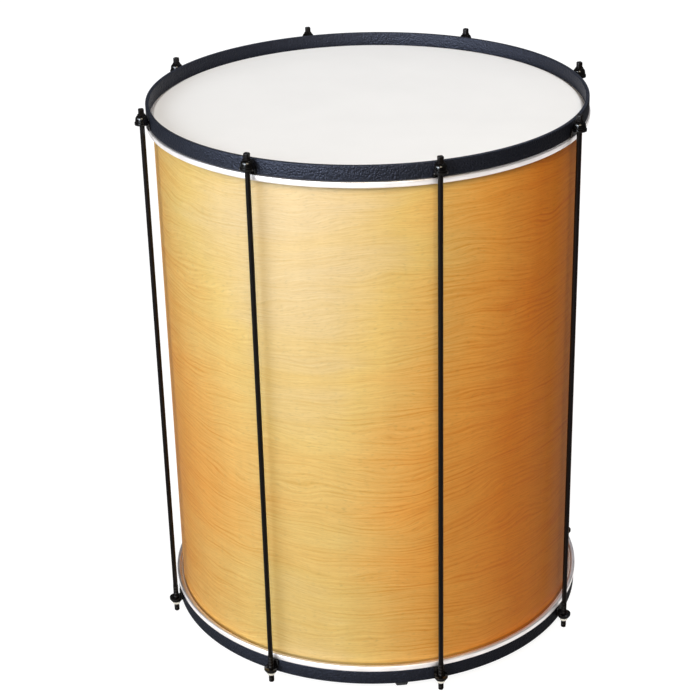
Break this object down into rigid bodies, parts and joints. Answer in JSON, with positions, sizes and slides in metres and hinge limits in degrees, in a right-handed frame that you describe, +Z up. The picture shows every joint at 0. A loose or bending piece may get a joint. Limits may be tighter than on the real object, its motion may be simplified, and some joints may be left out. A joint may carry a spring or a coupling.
{
  "type": "surdo drum",
  "caption": "Two-headed bass drum: veneered wooden shell, milky heads in bright flesh hoops, black hoops drawn together by long tension rods.",
  "frame": {"origin": "on the drum's axis, in the plane of the tension rods' lower ends, which is the floor it stands on", "axes": "+Z up along the drum's axis to the struck head, -Y midway between the two front rods, +X to the right seen from the front"},
  "size_m": [0.4728, 0.4728, 0.6103],
  "materials": {
    "shell_veneer": "satin lacquer over golden veneer, grain running round the drum",
    "inner_birch": "bare birch ply",
    "head_film": "milky polyester film",
    "flesh_hoop_aluminium": "polished",
    "hoop_black": "black powder coat, fine orange peel",
    "hardware_black": "gloss black plating",
    "nut_zinc": "bright zinc plate",
    "pad_rubber": "black rubber"
  },
  "bodies": {
    "drum_body": {"shell": "shell_veneer", "top_inner_ring": "inner_birch", "bottom_inner_ring": "inner_birch", "top_head_film": "head_film", "bottom_head_film": "head_film"},
    "top_rim": {"top_hoop": "hoop_black", "top_flesh_hoop": "flesh_hoop_aluminium", "top_ear_1": "hardware_black", "top_ear_2": "hardware_black", "top_ear_3": "hardware_black", "top_ear_4": "hardware_black", "top_ear_5": "hardware_black", "top_ear_6": "hardware_black", "top_ear_7": "hardware_black", "top_ear_8": "hardware_black"},
    "bottom_rim": {"bottom_hoop": "hoop_black", "bottom_flesh_hoop": "flesh_hoop_aluminium", "bottom_ear_1": "hardware_black", "bottom_ear_2": "hardware_black", "bottom_ear_3": "hardware_black", "bottom_ear_4": "hardware_black", "bottom_ear_5": "hardware_black", "bottom_ear_6": "hardware_black", "bottom_ear_7": "hardware_black", "bottom_ear_8": "hardware_black", "cup_washer_1": "hardware_black", "cup_washer_2": "hardware_black", "cup_washer_3": "hardware_black", "cup_washer_4": "hardware_black", "cup_washer_5": "hardware_black", "cup_washer_6": "hardware_black", "cup_washer_7": "hardware_black", "cup_washer_8": "hardware_black", "hex_nut_1": "nut_zinc", "hex_nut_2": "nut_zinc", "hex_nut_3": "nut_zinc", "hex_nut_4": "nut_zinc", "hex_nut_5": "nut_zinc", "hex_nut_6": "nut_zinc", "hex_nut_7": "nut_zinc", "hex_nut_8": "nut_zinc", "hoop_pad": "pad_rubber"},
    "rod_1": {"tension_rod_1": "hardware_black", "bell_collar_1": "hardware_black"},
    "rod_2": {"tension_rod_2": "hardware_black", "bell_collar_2": "hardware_black"},
    "rod_3": {"tension_rod_3": "hardware_black", "bell_collar_3": "hardware_black"},
    "rod_4": {"tension_rod_4": "hardware_black", "bell_collar_4": "hardware_black"},
    "rod_5": {"tension_rod_5": "hardware_black", "bell_collar_5": "hardware_black"},
    "rod_6": {"tension_rod_6": "hardware_black", "bell_collar_6": "hardware_black"},
    "rod_7": {"tension_rod_7": "hardware_black", "bell_collar_7": "hardware_black"},
    "rod_8": {"tension_rod_8": "hardware_black", "bell_collar_8": "hardware_black"}
  },
  "joints": [
    {"name": "top_rim_travel", "type": "slide", "parent": "drum_body", "child": "top_rim", "axis": [0, 0, 1], "range_m": [-0.0005, 0.002]},
    {"name": "bottom_rim_travel", "type": "slide", "parent": "drum_body", "child": "bottom_rim", "axis": [0, 0, -1], "range_m": [-0.00051, 0.00201]},
    {"name": "rod_1_turn", "type": "hinge", "parent": "top_rim", "child": "rod_1", "pos_m": [-0.09295, -0.22441, 0.6], "axis": [0, 0, 1], "range_deg": [-360, 1440]},
    {"name": "rod_2_turn", "type": "hinge", "parent": "top_rim", "child": "rod_2", "pos_m": [0.09295, -0.22441, 0.6], "axis": [0, 0, 1], "range_deg": [-360, 1440]},
    {"name": "rod_3_turn", "type": "hinge", "parent": "top_rim", "child": "rod_3", "pos_m": [0.22441, -0.09295, 0.6], "axis": [0, 0, 1], "range_deg": [-360, 1440]},
    {"name": "rod_4_turn", "type": "hinge", "parent": "top_rim", "child": "rod_4", "pos_m": [0.22441, 0.09295, 0.6], "axis": [0, 0, 1], "range_deg": [-360, 1440]},
    {"name": "rod_5_turn", "type": "hinge", "parent": "top_rim", "child": "rod_5", "pos_m": [0.09295, 0.22441, 0.6], "axis": [0, 0, 1], "range_deg": [-360, 1440]},
    {"name": "rod_6_turn", "type": "hinge", "parent": "top_rim", "child": "rod_6", "pos_m": [-0.09295, 0.22441, 0.6], "axis": [0, 0, 1], "range_deg": [-360, 1440]},
    {"name": "rod_7_turn", "type": "hinge", "parent": "top_rim", "child": "rod_7", "pos_m": [-0.22441, 0.09295, 0.6], "axis": [0, 0, 1], "range_deg": [-360, 1440]},
    {"name": "rod_8_turn", "type": "hinge", "parent": "top_rim", "child": "rod_8", "pos_m": [-0.22441, -0.09295, 0.6], "axis": [0, 0, 1], "range_deg": [-360, 1440]}
  ],
  "couplings": [
    {"joint": "bottom_rim_travel", "follows": "top_rim_travel", "ratio": 1},
    {"joint": "rod_1_turn", "follows": "top_rim_travel", "rad_per_m": 12566},
    {"joint": "rod_2_turn", "follows": "top_rim_travel", "rad_per_m": 12566},
    {"joint": "rod_3_turn", "follows": "top_rim_travel", "rad_per_m": 12566},
    {"joint": "rod_4_turn", "follows": "top_rim_travel", "rad_per_m": 12566},
    {"joint": "rod_5_turn", "follows": "top_rim_travel", "rad_per_m": 12566},
    {"joint": "rod_6_turn", "follows": "top_rim_travel", "rad_per_m": 12566},
    {"joint": "rod_7_turn", "follows": "top_rim_travel", "rad_per_m": 12566},
    {"joint": "rod_8_turn", "follows": "top_rim_travel", "rad_per_m": 12566}
  ]
}
